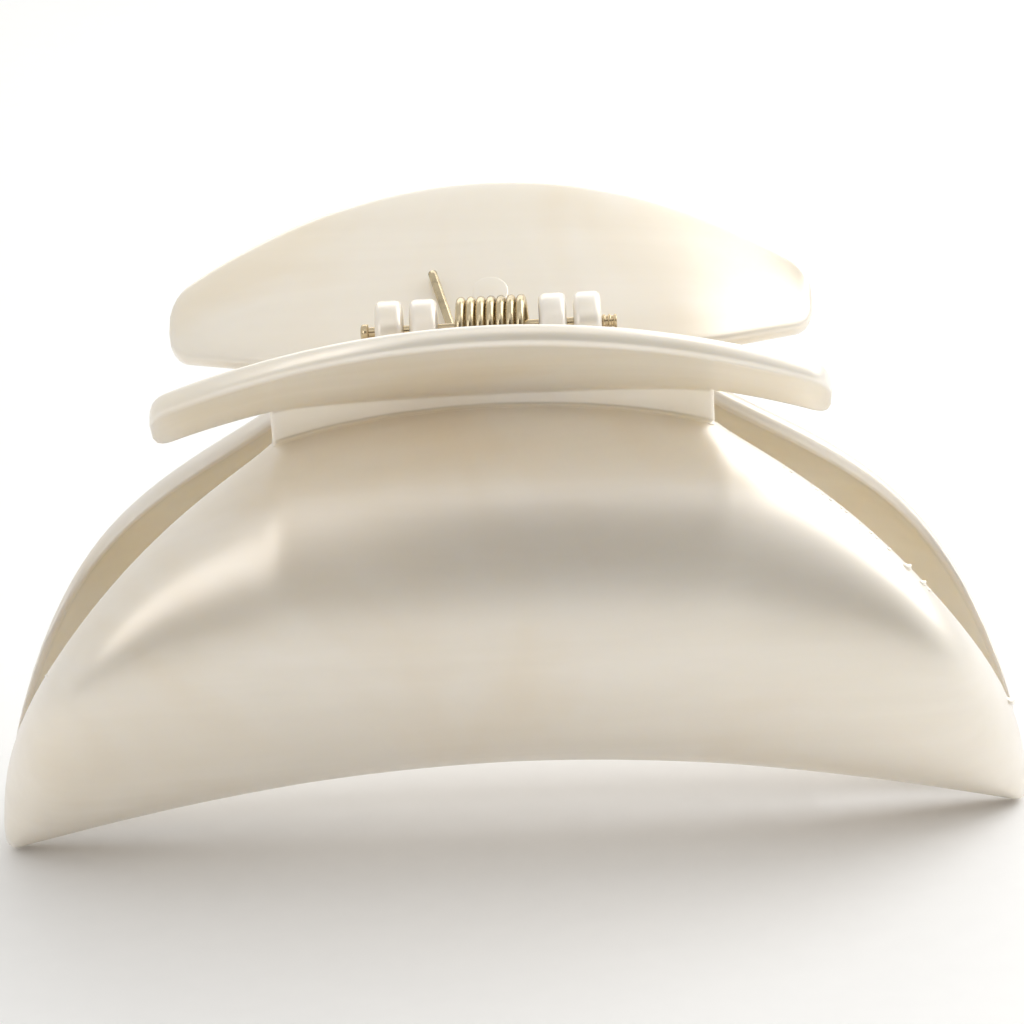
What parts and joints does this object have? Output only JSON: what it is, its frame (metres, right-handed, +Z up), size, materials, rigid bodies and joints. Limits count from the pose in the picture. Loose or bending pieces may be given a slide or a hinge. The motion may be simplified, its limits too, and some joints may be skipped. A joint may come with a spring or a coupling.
{
  "type": "claw clip",
  "caption": "Half-moon hair claw clip: two domed sprung jaws with flared wing handles on one hinge pin, inner teeth and a torsion spring.",
  "frame": {"origin": "on the surface that the four jaw tips stand on, midway between them, under the hinge pin", "axes": "+X along the hinge pin, which is the clip's length; +Y from the front jaw to the back jaw; +Z up, from the jaw tips to the handles"},
  "size_m": [0.114, 0.05, 0.0663],
  "materials": {
    "pearl_plastic": "pearlescent cream, satin gloss, moulded",
    "pin_metal": "pale gold plated, polished",
    "spring_wire": "pale gold plated wire"
  },
  "bodies": {
    "back_jaw": {"back_jaw": "pearl_plastic", "hinge_pin": "pin_metal", "torsion_spring": "spring_wire"},
    "front_jaw": {"front_jaw": "pearl_plastic"}
  },
  "joints": [
    {"name": "jaw_hinge", "type": "hinge", "parent": "back_jaw", "child": "front_jaw", "pos_m": [0, 0, 0.0578], "axis": [-1, 0, 0], "range_deg": [0, 70], "stiffness_Nm_per_rad": 0.23, "springref_deg": -60.16, "deforming": ["torsion_spring"]}
  ]
}
